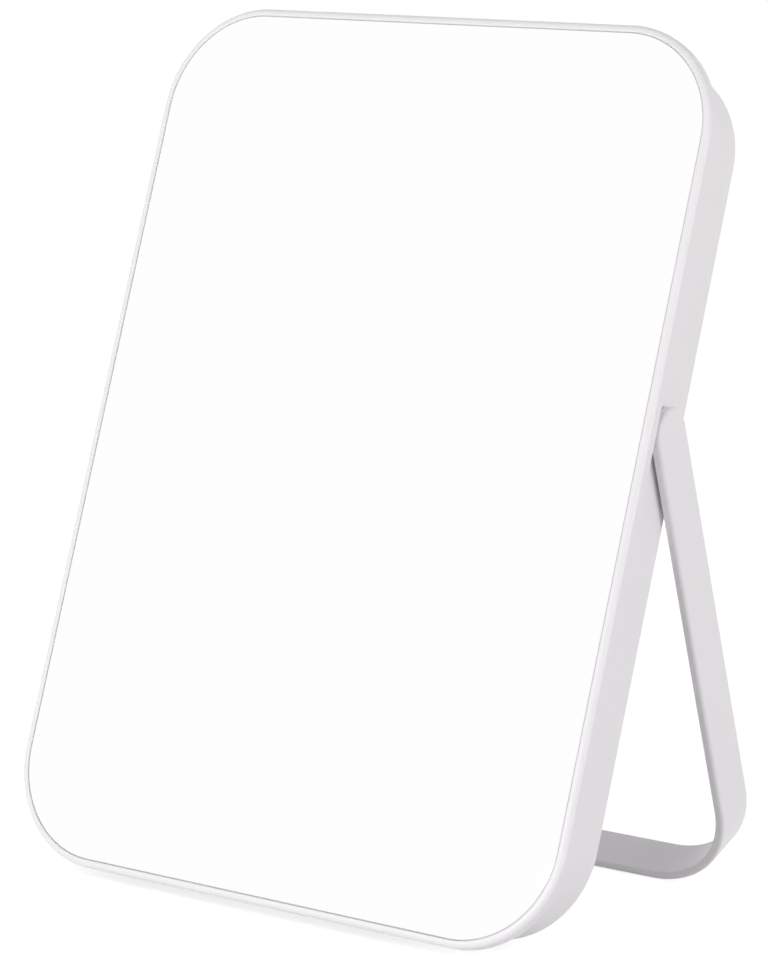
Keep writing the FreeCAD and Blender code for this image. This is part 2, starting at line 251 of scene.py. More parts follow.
# %% Outlines
PANEL_WIDTH = 174.0 * MM
PANEL_HEIGHT = 240.0 * MM
PANEL_CORNER = 29.0 * MM
PANEL_OUTLINE = (PANEL_WIDTH, PANEL_HEIGHT, PANEL_CORNER)
COVER_WIDTH = 166.0 * MM
COVER_HEIGHT = 232.0 * MM
COVER_CORNER = 26.8 * MM
COVER_OUTLINE = (COVER_WIDTH, COVER_HEIGHT, COVER_CORNER)
COVER_WALL = 2.0 * MM


def inset_of(place, width, height, corner):
    """How far a point lies inside a round-cornered outline."""
    across = abs(place.x) - (width / 2 - corner)
    along = abs(place.z) - (height / 2 - corner)
    return corner - hypot(max(across, 0), max(along, 0)) - min(max(across, along), 0)


middle_inset = inset_of(Vector((0, 0, 0)), *PANEL_OUTLINE)
print("the panel's middle lies", round(middle_inset / MM, 1), "mm inside its outline")

# %% [markdown]
# ## Plates and trays
# A plate is a block whose four edges along Y are rounded. A tray is a plate with a
# pocket: a boolean could cut it, but an inset of the front face followed by an
# extrusion backwards gives the same pocket with clean quads all round, which take
# roundings well.

# %% Helpers for plates and trays
CORNER_STEPS = 28


def in_plane(item, depth):
    """True for an edge or face that lies in the plane at this depth."""
    return all(abs(vert.co.y - depth) < TINY for vert in item.verts)


def add_plate(name, width, height, corner, front, back):
    """Adds an upright plate with round corners, between two depths."""
    plate = add_block(name, (-width / 2, front, -height / 2), (width / 2, back, height / 2))
    edit(plate)
    pick("EDGE", lambda edge: abs(edge.verts[0].co.y - edge.verts[1].co.y) > TINY)
    round_off(corner, CORNER_STEPS)
    done()
    return plate


def add_tray(name, width, height, corner, front, back, wall, floor):
    """Adds a plate with a pocket in its front, which leaves a wall all round and a floor."""
    tray = add_plate(name, width, height, corner, front, back)
    pocket = (0, back - front - floor, 0)
    edit(tray)
    pick("FACE", lambda face: in_plane(face, front))
    bpy.ops.mesh.inset(thickness=wall, use_even_offset=True)
    bpy.ops.mesh.extrude_region_move(TRANSFORM_OT_translate={"value": pocket})
    done()
    return tray


print("plates have", 4 * CORNER_STEPS, "faces round their corners")

# %% [markdown]
# ## The front frame
# The frame is one moulding: a rim 2.1 mm wide round a thin floor that carries the
# glass. That is a tray, so the helper makes it whole, with sharp edges for now.

# %% Front frame: tray
FRAME_DEPTH = 3.8 * MM
FRAME_FLOOR = 1.2 * MM
RIM_WIDTH = 2.1 * MM
RIM_ROUNDING = 1.5 * MM
LIP_ROUNDING = 0.25 * MM
REAR_ROUNDING = 0.3 * MM

rim = add_tray("mirror_rim", *PANEL_OUTLINE, 0.0, FRAME_DEPTH, RIM_WIDTH, FRAME_FLOOR)
print("frame tray:", len(rim.data.polygons), "faces")

# %% [markdown]
# ## The frame's roundings
# The rim has a soft rounding outside, a small one where the glass begins and another
# at the rear. A bevel modifier would round all three alike, so each ring of edges is
# picked by its depth and by how far it lies inside the outline, and gets its own.

# %% Front frame: roundings
RING_MARGIN = 0.25 * MM


def ring_edges(depth, inset, outline):
    """A test for edges in the plane at a depth that lie at an inset from an outline."""
    return lambda edge: in_plane(edge, depth) and all(
        abs(inset_of(vert.co, *outline) - inset) < RING_MARGIN for vert in edge.verts)


edit(rim)
pick("EDGE", ring_edges(0.0, 0.0, PANEL_OUTLINE))
round_off(RIM_ROUNDING, steps=10)
pick("EDGE", ring_edges(0.0, RIM_WIDTH, PANEL_OUTLINE))
round_off(LIP_ROUNDING, steps=4)
pick("EDGE", ring_edges(FRAME_DEPTH, 0.0, PANEL_OUTLINE))
round_off(REAR_ROUNDING, steps=4)
done()
print("front frame:", len(rim.data.polygons), "faces")

# %% [markdown]
# ## The frame's spigot
# Behind its floor the frame has a low wall that plugs into the cover and centres it.
# The wall starts as a plate without front and back, which Solidify turns into a
# ring, and a block cuts the two windows that leave room for the hinges.

# %% Front frame: spigot
SPIGOT_DEPTH = 5.0 * MM
SPIGOT_WALL = 1.6 * MM
SPIGOT_PLAY = 0.15 * MM
PAD_RADIUS = 8.6 * MM
MOSTLY = 0.5

spigot_inset = COVER_WALL + SPIGOT_PLAY
spigot = add_plate("spigot", COVER_WIDTH - 2 * spigot_inset,
                   COVER_HEIGHT - 2 * spigot_inset, COVER_CORNER - spigot_inset,
                   FRAME_DEPTH - FRAME_FLOOR / 2, FRAME_DEPTH + SPIGOT_DEPTH)
edit(spigot)
pick("FACE", lambda face: abs(face.normal.y) > MOSTLY)
bpy.ops.mesh.delete(type="FACE")
done()
modify(spigot, "SOLIDIFY", thickness=SPIGOT_WALL, offset=INWARDS, use_even_offset=True)
window_half = PAD_RADIUS + SPIGOT_WALL
window = add_block("window", (-PANEL_WIDTH / 2, FRAME_DEPTH, HINGE_RISE - window_half),
                   (PANEL_WIDTH / 2, FRAME_DEPTH + 2 * SPIGOT_DEPTH, HINGE_RISE + window_half))
cut_or_join(spigot, window, "DIFFERENCE")
cut_or_join(rim, spigot, "UNION")
print("front frame with its spigot:", len(rim.data.polygons), "faces")

# %% [markdown]
# ## The frame's screw holes
# Six countersunk screws go through the frame's floor into the cover and disappear
# under the glass. The floor is as thick as a screw's head, so one cone cuts the whole
# hole: as wide as the head in front and as narrow as the shank behind. It reaches a
# little past both faces of the floor, so that no two faces coincide.

# %% Front frame: screw holes
SCREW_COLUMN = 55.0 * MM
SCREW_ROW = 88.0 * MM
SCREW_SIDES = 32
SHANK_RADIUS = 1.32 * MM
HEAD_RADIUS = 2.42 * MM
OVERCUT = 0.1 * MM

screw_columns = (-SCREW_COLUMN, SCREW_COLUMN)
screw_rows = (-SCREW_ROW, 0.0, SCREW_ROW)
screw_places = [(x, z) for x in screw_columns for z in screw_rows]
floor_middle = FRAME_DEPTH - FRAME_FLOOR / 2
widening = OVERCUT * (HEAD_RADIUS - SHANK_RADIUS) / FRAME_FLOOR
for x, z in screw_places:
    bpy.ops.object.select_all(action="DESELECT")
    bpy.ops.mesh.primitive_cone_add(vertices=SCREW_SIDES, depth=FRAME_FLOOR + 2 * OVERCUT,
                                    radius1=SHANK_RADIUS - widening, radius2=HEAD_RADIUS + widening,
                                    location=(x, floor_middle, z), rotation=(QUARTER_TURN, 0, 0))
    countersink = bpy.context.object
    settle(countersink)
    cut_or_join(rim, countersink, "DIFFERENCE")
smooth(rim, angle=40)
print("front frame with its screw holes:", len(rim.data.polygons), "faces")

# %% [markdown]
# ## The glass
# The glass is float glass, silvered on its back, and lies 0.3 mm below the rim with
# a hairline gap round it. The glass cutter seams its sharp edges, which is a tiny flat
# bevel here and shows as a fine grey outline. It is laid in by hand and so never lies
# quite in the middle, which makes its outline darker on the right and at the bottom.
# The silvered face and the ground edge are two finishes on one piece.

# %% Mirror glass
GLASS_RECESS = 0.3 * MM
GLASS_BACK = 2.1 * MM
GLASS_GAP = 0.05 * MM
GLASS_SEAM = 0.25 * MM
GLASS_SHIFT = (-0.045 * MM, 0.0, 0.015 * MM)

glass_inset = RIM_WIDTH + GLASS_GAP
glass = add_plate("silvered_pane", PANEL_WIDTH - 2 * glass_inset, PANEL_HEIGHT - 2 * glass_inset,
                  PANEL_CORNER - glass_inset, GLASS_RECESS, GLASS_BACK)
edit(glass)
bpy.ops.mesh.select_all(action="SELECT")
bpy.ops.transform.translate(value=GLASS_SHIFT)
pick("EDGE", lambda edge: in_plane(edge, GLASS_RECESS) or in_plane(edge, GLASS_BACK))
round_off(GLASS_SEAM, steps=1)
done()
smooth(glass, angle=30)
print("glass:", len(glass.data.polygons), "faces")

# %% [markdown]
# ## The back cover
# The cover is a deeper tray, open to the front, where the frame closes it. The frame
# overhangs it by 4 mm on the straights and by nearly 5 mm at the corners, which are
# rounder than an even overhang would leave them. The cover's back edge is rounded
# outside and, more tightly, inside.

# %% Back cover: tray
COVER_BACK = 24.0 * MM
COVER_ROUNDING = 2.0 * MM
COVER_INNER_ROUNDING = 1.0 * MM

cover = add_tray("back_shell", *COVER_OUTLINE, FRAME_DEPTH, COVER_BACK, COVER_WALL, COVER_WALL)
edit(cover)
pick("EDGE", ring_edges(COVER_BACK, 0.0, COVER_OUTLINE))
round_off(COVER_ROUNDING, steps=10)
pick("EDGE", ring_edges(COVER_BACK - COVER_WALL, COVER_WALL, COVER_OUTLINE))
round_off(COVER_INNER_ROUNDING, steps=5)
done()
print("cover tray:", len(cover.data.polygons), "faces")

# %% [markdown]
# ## Ribs and screw bosses
# Three ribs down and three across stiffen the cover's thin back, and a boss stands up
# to the frame at each screw. They are blocks and drums whose ends lie inside the walls
# that they join, so that the union is clean. A thinner drum then cuts the hole that
# the screw's shank bites into.

# %% Back cover: ribs and bosses
RIB_THICKNESS = 1.2 * MM
RIB_HEIGHT = 5.0 * MM
BOSS_RADIUS = 3.2 * MM
BOSS_SIDES = 48
SHANK_REACH = 7.8 * MM

rib_front = COVER_BACK - COVER_WALL - RIB_HEIGHT
rib_half = RIB_THICKNESS / 2
in_back = COVER_BACK - COVER_WALL / 2
in_side = (COVER_WIDTH - COVER_WALL) / 2
in_end = (COVER_HEIGHT - COVER_WALL) / 2
for x in sorted((0.0, *screw_columns)):
    rib = add_block("rib", (x - rib_half, rib_front, -in_end), (x + rib_half, in_back, in_end))
    cut_or_join(cover, rib, "UNION")
for z in screw_rows:
    rib = add_block("rib", (-in_side, rib_front, z - rib_half), (in_side, in_back, z + rib_half))
    cut_or_join(cover, rib, "UNION")
for place in screw_places:
    boss = add_drum("boss", BOSS_RADIUS, place, FRAME_DEPTH, in_back, BOSS_SIDES)
    cut_or_join(cover, boss, "UNION")
    shank = add_drum("shank", SHANK_RADIUS, place,
                     FRAME_DEPTH - OVERCUT, FRAME_DEPTH + SHANK_REACH, SCREW_SIDES)
    cut_or_join(cover, shank, "DIFFERENCE")
print("cover with ribs and bosses:", len(cover.data.polygons), "faces")

# %% [markdown]
# ## The finger notch
# In the middle of the cover's lower back edge a shallow scoop lets a fingertip hook
# the folded stand and pull it out. It is a short drum with one rounded rim. A wider
# drum of the same shape is joined on inside the cover first, as the scoop's wall, and
# then the scoop itself is cut away.

# %% Back cover: finger notch
NOTCH_WIDTH = 34.0 * MM
NOTCH_RISE = 8.0 * MM
NOTCH_DEPTH = 12.0 * MM
NOTCH_ROUNDING = 1.5 * MM
NOTCH_RADIUS = (NOTCH_WIDTH ** 2 / 4 + NOTCH_RISE ** 2) / (2 * NOTCH_RISE)
NOTCH_SIDES = 96


def add_scoop(name, growth, back):
    """Adds the notch's drum, grown all round, from its rounded front to a depth."""
    front = COVER_BACK - NOTCH_DEPTH - growth
    place = (0.0, NOTCH_RISE - NOTCH_RADIUS - COVER_HEIGHT / 2)
    drum = add_drum(name, NOTCH_RADIUS + growth, place, front, back, NOTCH_SIDES)
    edit(drum)
    pick("EDGE", lambda edge: in_plane(edge, front))
    round_off(NOTCH_ROUNDING + growth, steps=8)
    done()
    return drum


scoop_wall = add_scoop("scoop_wall", COVER_WALL, COVER_BACK - COVER_WALL / 2)
edit(scoop_wall)
bpy.ops.mesh.select_all(action="SELECT")
bpy.ops.mesh.bisect(plane_co=(0, 0, (COVER_WALL - COVER_HEIGHT) / 2), plane_no=(0, 0, 1),
                    use_fill=True, clear_inner=True)
done()
cut_or_join(cover, scoop_wall, "UNION")
cut_or_join(cover, add_scoop("scoop", 0.0, COVER_BACK + COVER_ROUNDING), "DIFFERENCE")
print("cover with its notch:", len(cover.data.polygons), "faces")

# %% [markdown]
# ## The hinge pads
# Inside each side wall a round pad thickens the wall, and the stand's bush sits in a
# bore through both. The pads are joined on and the bores cut with plain pins, which
# is how the mould makes them. On each pad stands a collar, a ring with a gap. The stop
# disc's tab moves in that gap, and its two ends limit the stand's travel.

# %% Back cover: hinge pads and bores
PAD_THICKNESS = 3.0 * MM
BUSH_RADIUS = 4.22 * MM
COLLAR_RADIUS = 6.0 * MM
DISC_INSIDE = 75.9 * MM
TAB_ROOM = radians(14.0)
OVERLAP = 1.0 * MM

wall_inside = COVER_WIDTH / 2 - COVER_WALL
pad_inside = wall_inside - PAD_THICKNESS


def add_collar(side):
    """Adds a collar, open from the tab's place when shut to its place when open."""
    reach = 2 * PAD_RADIUS
    left, right = sorted([side * (DISC_INSIDE - OVERLAP), side * (pad_inside + OVERLAP)])
    collar = add_pin("collar", PAD_RADIUS, side * DISC_INSIDE, side * (pad_inside + OVERLAP / 2))
    cut_or_join(collar, add_pin("hollow", COLLAR_RADIUS, left, right), "DIFFERENCE")
    gap = add_block("gap", (left, HINGE_SETBACK - reach, HINGE_RISE - reach),
                    (right, HINGE_SETBACK + reach, HINGE_RISE + reach))
    edit(gap)
    for angle, removed in ((-TAB_ROOM, "clear_inner"), (OPEN_ANGLE + TAB_ROOM, "clear_outer")):
        bpy.ops.mesh.select_all(action="SELECT")
        bpy.ops.mesh.bisect(plane_co=HINGE_LINE, plane_no=(0, -cos(angle), -sin(angle)),
                            use_fill=True, **{removed: True})
    done()
    cut_or_join(collar, gap, "DIFFERENCE")
    return collar


for side in (-1, 1):
    pad = add_pin("pad", PAD_RADIUS, side * pad_inside, side * (wall_inside + COVER_WALL / 2))
    cut_or_join(cover, pad, "UNION")
    bore = add_pin("bore", BUSH_RADIUS,
                   side * (pad_inside - COVER_WALL), side * (COVER_WIDTH / 2 + COVER_WALL))
    cut_or_join(cover, bore, "DIFFERENCE")
    cut_or_join(cover, add_collar(side), "UNION")
smooth(cover, angle=35)
print("back cover:", len(cover.data.polygons), "faces")

# %% [markdown]
# ## The stand
# The stand is one flat band that goes down one side, across the bottom and up the
# other. It is modelled folded: a block keeps only its two sides and its bottom, the
# two lower edges are rounded, and the upper corners of each arm are rounded to a half
# circle round the hinge. Those two corners are cut a hair short of the middle, so that
# they don't meet before their points are merged.

# %% Stand: sheet bent to a U
STAND_HALF_WIDTH = 86.4 * MM
STAND_BOTTOM = 119.0 * MM
STAND_WIDTH = 14.0 * MM
STAND_THICKNESS = 2.5 * MM
STAND_CORNER = 26.0 * MM
STAND_OUTER_ROUNDING = 1.0 * MM
STAND_INNER_ROUNDING = 0.5 * MM
ARM_END_STEPS = 20
NEARLY = 0.9999

band_half = STAND_WIDTH / 2
arm_top = HINGE_RISE + band_half
band = add_block("stand_band", (-STAND_HALF_WIDTH, HINGE_SETBACK - band_half, -STAND_BOTTOM),
                 (STAND_HALF_WIDTH, HINGE_SETBACK + band_half, arm_top))
edit(band)
pick("FACE", lambda face: abs(face.normal.y) > MOSTLY or face.normal.z > MOSTLY)
bpy.ops.mesh.delete(type="FACE")
pick("EDGE", lambda edge: all(vert.co.z < TINY - STAND_BOTTOM for vert in edge.verts)
     and abs(edge.verts[0].co.x - edge.verts[1].co.x) < TINY)
round_off(STAND_CORNER, CORNER_STEPS)
pick("EDGE", lambda edge: all(vert.co.z > arm_top - TINY for vert in edge.verts))
bpy.ops.mesh.bevel(offset=band_half * NEARLY, offset_type="OFFSET", segments=ARM_END_STEPS,
                   profile=ROUND_PROFILE, affect="VERTICES", clamp_overlap=False)
bpy.ops.mesh.select_all(action="SELECT")
bpy.ops.mesh.remove_doubles(threshold=TINY)
done()
print("stand sheet:", len(band.data.polygons), "faces")

# %% [markdown]
# ## The stand's thickness and edges
# Solidify gives the sheet its thickness inwards, so its outside stays true to size. It
# notes which points it added, so the band's outer edges, which a hand feels, can get a
# larger rounding than the inner ones. Sharp edges are found by their angle.

# %% Stand: thickness and rounded edges
SHARP = radians(60)

band.vertex_groups.new(name="inner_skin")
modify(band, "SOLIDIFY", thickness=STAND_THICKNESS, offset=INWARDS, use_even_offset=True,
       shell_vertex_group="inner_skin")


def on_inner_skin(vert):
    """True for a point that Solidify added."""
    layer = bmesh.from_edit_mesh(bpy.context.object.data).verts.layers.deform.active
    return len(vert[layer]) > 0


edit(band)
bpy.ops.mesh.select_mode(type="EDGE")
bpy.ops.mesh.select_all(action="DESELECT")
bpy.ops.mesh.edges_select_sharp(sharpness=SHARP)
sharp = {edge.index for edge in bmesh.from_edit_mesh(band.data).edges if edge.select}
pick("EDGE", lambda edge: edge.index in sharp
     and not any(on_inner_skin(vert) for vert in edge.verts))
round_off(STAND_OUTER_ROUNDING, steps=6)
bpy.ops.mesh.select_all(action="DESELECT")
bpy.ops.mesh.edges_select_sharp(sharpness=SHARP)
round_off(STAND_INNER_ROUNDING, steps=4)
done()
print("stand band:", len(band.data.polygons), "faces")

# %% [markdown]
# ## The stubs
# Each arm turns on a short stub that is moulded on its inner side and passes through
# the bush in the cover's wall. Its inner end has two flats that key the stop disc, and
# a hole for the screw that holds the disc.

# %% Stand: hinge stubs
STUB_RADIUS = 3.0 * MM
KEY_FLAT = 4.4 * MM
KEY_OVERLAP = 0.75 * MM
DISC_OUTSIDE = 77.1 * MM
STUB_HOLE = 7.0 * MM

arm_inside = STAND_HALF_WIDTH - STAND_THICKNESS
for side in (-1, 1):
    stub = add_pin("stub", STUB_RADIUS,
                   side * DISC_OUTSIDE, side * (arm_inside + STAND_THICKNESS / 2))
    key = add_pin("key", STUB_RADIUS, side * DISC_INSIDE, side * (DISC_OUTSIDE + KEY_OVERLAP))
    edit(key)
    for face_side in (-1, 1):
        bpy.ops.mesh.select_all(action="SELECT")
        bpy.ops.mesh.bisect(plane_co=(0, HINGE_SETBACK + face_side * KEY_FLAT / 2, 0),
                            plane_no=(0, face_side, 0), use_fill=True, clear_outer=True)
    done()
    cut_or_join(stub, key, "UNION")
    cut_or_join(band, stub, "UNION")
    drill = add_pin("drill", SHANK_RADIUS,
                    side * (DISC_INSIDE - OVERCUT), side * (DISC_INSIDE + STUB_HOLE))
    cut_or_join(band, drill, "DIFFERENCE")
smooth(band, angle=40)
print("stand:", len(band.data.polygons), "faces")

# %% [markdown]
# ## Standing the pieces up
# The panel's pieces lean back about the hinge. The stand swings open by the hinge's
# travel and leans with them. Each piece then rides on its body and hides the solid
# that it stands for.


# %% Lean, open, and tie each piece to the frame
def stand_up(piece, turn_angle, body, node):
    """Turns a finished piece about the hinge and ties it to the frame."""
    piece.rotation_euler = (turn_angle, 0, 0)
    piece.location = HINGE_PLACE - Matrix.Rotation(turn_angle, 3, "X") @ HINGE_LINE
    settle(piece)
    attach(piece, body)
    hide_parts(node)
    low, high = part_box(node)
    columns = list(zip(*(vert.co for vert in piece.data.vertices)))
    reach = [min(column) for column in columns] + [max(column) for column in columns]
    gap = max(abs(a - b) for a, b in zip([*low, *high], reach))
    print(piece.name, "stands for", node, "and differs by", round(gap / MM, 3), "mm")


stand_up(rim, -LEAN, "panel", "front_frame")
stand_up(glass, -LEAN, "panel", "mirror_glass")
stand_up(cover, -LEAN, "panel", "rear_cover")
stand_up(band, OPEN_ANGLE - LEAN, "stand", "folding_stand")

# %% [markdown]
# ## Shader maths in plain arithmetic
# A finish is a small network of nodes. Wiring it by hand is long, so one class wraps
# a socket: sums on it add Math nodes, and its `node` method adds any other node from
# its type, its settings and the values or links of its inputs.


# %% The wire class
class Wire:
    """One socket in a node tree. Arithmetic on wires adds Math nodes."""

    def __init__(self, tree, socket=None):
        self.tree = tree
        self.socket = socket

    def node(self, kind, settings=None, inputs=None, output=0):
        """Adds a node, sets it up, fills or links its inputs and returns one output."""
        made = self.tree.nodes.new("ShaderNode" + kind)
        for name, value in (settings or {}).items():
            setattr(made, name, value)
        for name, value in (inputs or {}).items():
            if isinstance(value, Wire):
                self.tree.links.new(value.socket, made.inputs[name])
            else:
                made.inputs[name].default_value = value
        return Wire(self.tree, made.outputs[output] if made.outputs else None)

    def math(self, operation, first, second):
        """Adds a Math node for two values or wires."""
        return self.node("Math", {"operation": operation}, {0: first, 1: second})

    def __add__(self, other):
        return self.math("ADD", self, other)

    def __sub__(self, other):
        return self.math("SUBTRACT", self, other)

    def __rsub__(self, other):
        return self.math("SUBTRACT", other, self)

    def __mul__(self, other):
        return self.math("MULTIPLY", self, other)

    __radd__ = __add__
    __rmul__ = __mul__


print("wires and numbers can be added, subtracted and multiplied")

# %% [markdown]
# ## What every finish starts from
# A new material gets a wire to build on and the object's own coordinates, in metres,
# so a noise scale of 1000 means features of one millimetre. `blend` mixes two
# colours, `speckle` gives a noise between 0 and 1, `spread` picks out a part of it,
# `stretch` draws it out, `relief` turns it into bumps, and `finish` closes the
# network with the main shader.


# %% Helpers for finishes
def start_finish(name):
    """Adds an empty node material, and returns it, a wire and the coordinates."""
    material = bpy.data.materials.new(name)
    material.use_nodes = True
    material.node_tree.nodes.clear()
    wire = Wire(material.node_tree)
    return material, wire, wire.node("TexCoord", output="Object")


def blend(wire, factor, first, second):
    """Mixes two colours by a factor, through the Mix node's colour sockets."""
    sockets = {0: factor, 6: first, 7: second}
    return wire.node("Mix", {"data_type": "RGBA"}, sockets, output=2)


def speckle(wire, place, scale, detail=2.0, roughness=0.5):
    """Noise between 0 and 1."""
    return wire.node("TexNoise", {}, {"Vector": place, "Scale": scale, "Detail": detail,
                                      "Roughness": roughness})


def spread(wire, value, low, high):
    """Stretches a value so that low becomes 0 and high becomes 1."""
    ends = {"Value": value, "From Min": low, "From Max": high}
    return wire.node("MapRange", {"clamp": True}, ends)


def stretch(wire, place, scale, rotation=(0.0, 0.0, 0.0)):
    """Turns and scales the coordinates, so that a noise on them is drawn out."""
    inputs = {"Vector": place, "Rotation": rotation, "Scale": scale}
    return wire.node("Mapping", {}, inputs)


def relief(wire, height, depth, strength, **under):
    """Turns a height into bumps of a depth, on top of other bumps if there are any."""
    inputs = {"Height": height, "Distance": depth, "Strength": strength, **under}
    return wire.node("Bump", {}, inputs)


def finish(wire, shader_inputs):
    """Adds the main shader and the material's output."""
    shader = wire.node("BsdfPrincipled", {}, shader_inputs)
    wire.node("OutputMaterial", {}, {"Surface": shader})


print("finishes can be built up from noise, blends and relief")

# %% [markdown]
# ## White moulded plastic
# Gloss ABS is never quite even. Its colour clouds by a percent or so, the tool's
# polish leaves a fine orange-peel that softens reflections, handling dulls the gloss
# in patches, and a few specks of dust lie on it. The main shader's coat gives the
# hard, thin gloss of a polished mould over a softer body.

# %% White plastic
WHITE = (0.875, 0.849, 0.875)
WARM_CLOUD = (1.005, 1.0, 0.99)
COOL_CLOUD = (0.985, 0.985, 0.995)
DUST_GREY = (0.62, 0.61, 0.60, 1.0)
DUST_COVER = 0.35
CLOUD_SCALE = 22.0
HANDLING_SCALE = 34.0
PEEL_SCALE = 900.0
DUST_SCALE = 2600.0
GRAIN_SCALE = 5200.0
PEEL_DEPTH = 0.03 * MM
GRAIN_DEPTH = 0.01 * MM
HANDLING_DULLS = 0.09
GRAIN_DULLS = 0.05
COAT = 0.08
COAT_WORN_OFF = 0.04


def tinted(colour, tint):
    """A colour times a tint, opaque."""
    return (*(part * share for part, share in zip(colour, tint)), 1.0)


def white_plastic(name, roughness):
    """Makes the finish of gloss moulded plastic."""
    material, wire, place = start_finish(name)
    cloud = speckle(wire, place, CLOUD_SCALE, detail=3.0)
    peel = speckle(wire, place, PEEL_SCALE, roughness=0.4)
    grain = speckle(wire, place, GRAIN_SCALE)
    touched = speckle(wire, place, HANDLING_SCALE, detail=4.0, roughness=0.6)
    handling = spread(wire, touched, low=0.42, high=0.68)
    dust = spread(wire, speckle(wire, place, DUST_SCALE, detail=1.0), low=0.80, high=0.84)
    clouded = blend(wire, cloud, tinted(WHITE, WARM_CLOUD), tinted(WHITE, COOL_CLOUD))
    fine = relief(wire, grain, GRAIN_DEPTH, strength=0.1)
    finish(wire, {
        "Base Color": blend(wire, dust * DUST_COVER, clouded, DUST_GREY),
        "Roughness": roughness + handling * HANDLING_DULLS + grain * GRAIN_DULLS,
        "Normal": relief(wire, peel, PEEL_DEPTH, strength=0.2, Normal=fine),
        "Coat Weight": COAT - handling * COAT_WORN_OFF,
        "Coat Roughness": 0.2,
        "Specular IOR Level": 0.4,
    })
    return material


frame_white = white_plastic("frame_white", roughness=0.30)
cover_white = white_plastic("cover_white", roughness=0.34)
stand_white = white_plastic("stand_white", roughness=0.32)
print("white plastics:", frame_white.name, cover_white.name, stand_white.name)

# %% [markdown]
# ## Silvered glass
# A mirror is metal seen through glass, so its front is a smooth metal with a hint of
# the glass's tint and a clear coat over it. Clear glass over a second, silver face
# could show the same, but it would take longer to render and look no different here.
# Faint wiping marks change only the gloss.

# %% Silvered face
SILVER = (0.988, 0.990, 0.989, 1.0)
SILVER_DEEP = (0.980, 0.984, 0.983, 1.0)
TINT_SCALE = 9.0
WIPE_TURN = (0.0, 0.5, 0.0)
WIPE_SCALE = (6.0, 6.0, 34.0)
WIPE_DULLS = 0.02
GLASS_INDEX = 1.52


def mirror_finish():
    """Makes the finish of the silvered face."""
    material, wire, place = start_finish("polished_silver")
    wiped = stretch(wire, place, WIPE_SCALE, WIPE_TURN)
    wipe = spread(wire, speckle(wire, wiped, 1.0, detail=4.0, roughness=0.6), low=0.45, high=0.75)
    finish(wire, {
        "Base Color": blend(wire, speckle(wire, place, TINT_SCALE), SILVER, SILVER_DEEP),
        "Metallic": 1.0,
        "Roughness": wipe * WIPE_DULLS,
        "Coat Weight": 1.0,
        "Coat Roughness": 0.0,
        "Coat IOR": GLASS_INDEX,
    })
    return material


silvered = mirror_finish()
print("mirror finish:", silvered.name)

# %% [markdown]
# ## The ground edge
# The seamed edge is bare glass, pale grey and dull from the grinding belt. It is
# finished as a solid of that grey with fine scratches, because nothing is seen
# through an edge as narrow as this.

# %% Ground edge
EDGE_PALE = (0.72, 0.71, 0.72, 1.0)
EDGE_DEEP = (0.64, 0.63, 0.64, 1.0)
EDGE_SCRATCH = (0.80, 0.79, 0.80, 1.0)
DEEP_SCALE = 120.0
SCRATCH_SCALE = 3200.0
SCRATCH_DEPTH = 0.02 * MM


def ground_edge_finish():
    """Makes the finish of the glass's ground edge."""
    material, wire, place = start_finish("ground_glass_edge")
    scratch = speckle(wire, place, SCRATCH_SCALE, detail=3.0, roughness=0.7)
    mottled = blend(wire, speckle(wire, place, DEEP_SCALE), EDGE_PALE, EDGE_DEEP)
    finish(wire, {
        "Base Color": blend(wire, scratch, mottled, EDGE_SCRATCH),
        "Roughness": 0.25 + scratch * 0.3,
        "Normal": relief(wire, scratch, SCRATCH_DEPTH, strength=0.5),
        "Coat Weight": 0.4,
    })
    return material


ground_edge = ground_edge_finish()
print("edge finish:", ground_edge.name)

# %% [markdown]
# ## Foam and nylon inside
# These pieces are hidden while the mirror is whole, but the model can be opened. The
# foam shows its cells where it was cut, which a Voronoi pattern gives in one node, and
# painted shade colours each cell's hollow darker than its walls. The nylon has a satin
# grain with faint flow marks.

# %% Foam and nylon
# Painted shade: the colour of the foam's cell hollows, darker than the cell walls.
FOAM_HOLLOW_SHADE = (0.70, 0.70, 0.68, 1.0)
FOAM_WALL = (0.90, 0.90, 0.88, 1.0)
FOAM_AGED = (0.80, 0.80, 0.76, 1.0)
NYLON_PALE = (0.84, 0.82, 0.76, 1.0)
NYLON_FLOW = (0.79, 0.765, 0.69, 1.0)
CELL_SCALE = 2600.0
CELL_DEPTH = 0.1 * MM
AGEING_SCALE = 60.0
AGEING = 0.3
FLOW_SCALE = 160.0
SATIN_SCALE = 3800.0
SATIN_DEPTH = 0.03 * MM


def foam_finish():
    """Makes the finish of the foam strips."""
    material, wire, place = start_finish("closed_cell_foam")
    cells = wire.node("TexVoronoi", {"feature": "F1"}, {"Vector": place, "Scale": CELL_SCALE})
    aged = speckle(wire, place, AGEING_SCALE, detail=3.0) * AGEING
    finish(wire, {
        # The middle of each cell takes the painted shade colour, its walls the pale one.
        "Base Color": blend(wire, aged, blend(wire, cells, FOAM_HOLLOW_SHADE, FOAM_WALL), FOAM_AGED),
        "Roughness": 0.85 + cells * 0.1,
        "Normal": relief(wire, cells, CELL_DEPTH, strength=0.8),
    })
    return material


def nylon_finish():
    """Makes the finish of the bushes and the stop discs."""
    material, wire, place = start_finish("satin_nylon")
    flow = speckle(wire, place, FLOW_SCALE, detail=4.0, roughness=0.6)
    grain = speckle(wire, place, SATIN_SCALE)
    finish(wire, {
        "Base Color": blend(wire, flow, NYLON_PALE, NYLON_FLOW),
        "Roughness": 0.42 + grain * 0.16,
        "Normal": relief(wire, grain, SATIN_DEPTH, strength=0.5),
    })
    return material


foam = foam_finish()
nylon = nylon_finish()
print("soft inner finishes:", foam.name, nylon.name)

# %% [markdown]
# ## Steel inside
# Screws and spring washers are two steels that differ in colour and gloss, so one
# function makes both: fine drawn lines from a noise that is stretched along the
# hinge's axis, and patches of duller plating or oil.

